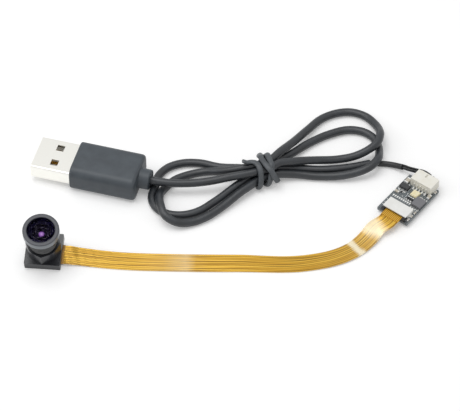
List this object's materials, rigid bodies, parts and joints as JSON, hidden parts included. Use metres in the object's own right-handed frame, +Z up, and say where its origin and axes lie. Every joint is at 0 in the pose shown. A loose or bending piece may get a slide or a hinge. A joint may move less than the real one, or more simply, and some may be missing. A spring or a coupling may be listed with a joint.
{
  "type": "camera module",
  "caption": "Small fixed-focus lens head on a long amber flex circuit, a slim driver board with a flex connector, and a coiled, tied USB cable with its plug.",
  "frame": {"origin": "middle of the footprint of the lens head, the flex circuit and the driver board, on the surface that the module lies on", "axes": "+X along the flex circuit from the lens head to the driver board, +Y from the flex circuit to the tied cable, +Z up"},
  "size_m": [0.1174, 0.0631, 0.0154],
  "materials": {
    "black_anodised": "satin, anodised dark grey",
    "coated_glass": "polished, with a blue-violet coating",
    "clear_glass": "polished",
    "filter_glass": "polished, infrared coating",
    "black_plastic": "matt",
    "holder_plastic": "satin, moulded",
    "sensor_package": "smooth, glass lid",
    "chip_ceramic": "smooth ceramic with tinned ends",
    "stiffener_steel": "plain sheet",
    "polyimide": "smooth film over copper tracks",
    "stiff_film": "smooth film",
    "solder_mask": "satin solder mask over tracks",
    "chip_black": "fine matt",
    "chip_grey": "fine matt",
    "crystal_case": "smooth ceramic",
    "white_plastic": "satin",
    "ivory_plastic": "satin",
    "gold_plate": "bright plating",
    "tin_plate": "bright tin plating",
    "black_wire": "smooth",
    "black_jacket": "soft satin",
    "tie_pvc": "soft satin",
    "grey_pvc": "soft satin",
    "nickel_plate": "bright nickel plating"
  },
  "bodies": {
    "module": {"lens_barrel": "black_anodised", "front_lens": "coated_glass", "stop_ring": "black_plastic", "middle_lens": "coated_glass", "lens_spacer": "black_plastic", "rear_lens": "clear_glass", "lens_holder": "holder_plastic", "ir_filter": "filter_glass", "image_sensor": "sensor_package", "sensor_capacitors": "chip_ceramic", "head_stiffener": "stiffener_steel", "flex_circuit": "polyimide", "tail_film": "stiff_film", "driver_board": "solder_mask", "camera_controller": "chip_black", "flash_memory": "chip_grey", "voltage_regulator": "chip_black", "crystal": "crystal_case", "capacitors": "chip_ceramic", "resistors": "chip_black", "zif_housing": "white_plastic", "zif_contacts": "gold_plate", "zif_hold_downs": "tin_plate", "header_housing": "ivory_plastic", "header_pins": "tin_plate", "header_hold_downs": "tin_plate", "cable_plug_housing": "white_plastic", "cable_plug_crimps": "tin_plate", "plug_wires": "black_wire", "cable_sleeve": "black_wire", "usb_cable": "black_jacket", "cable_tie": "tie_pvc", "usb_overmould": "grey_pvc", "usb_shell": "nickel_plate", "usb_tongue": "white_plastic", "usb_contacts": "gold_plate"},
    "slider": {"zif_slider": "black_plastic"}
  },
  "joints": [
    {"name": "slider_release", "type": "slide", "parent": "module", "child": "slider", "axis": [-0.6157, -0.788, 0], "range_m": [0, 0.0008]}
  ]
}
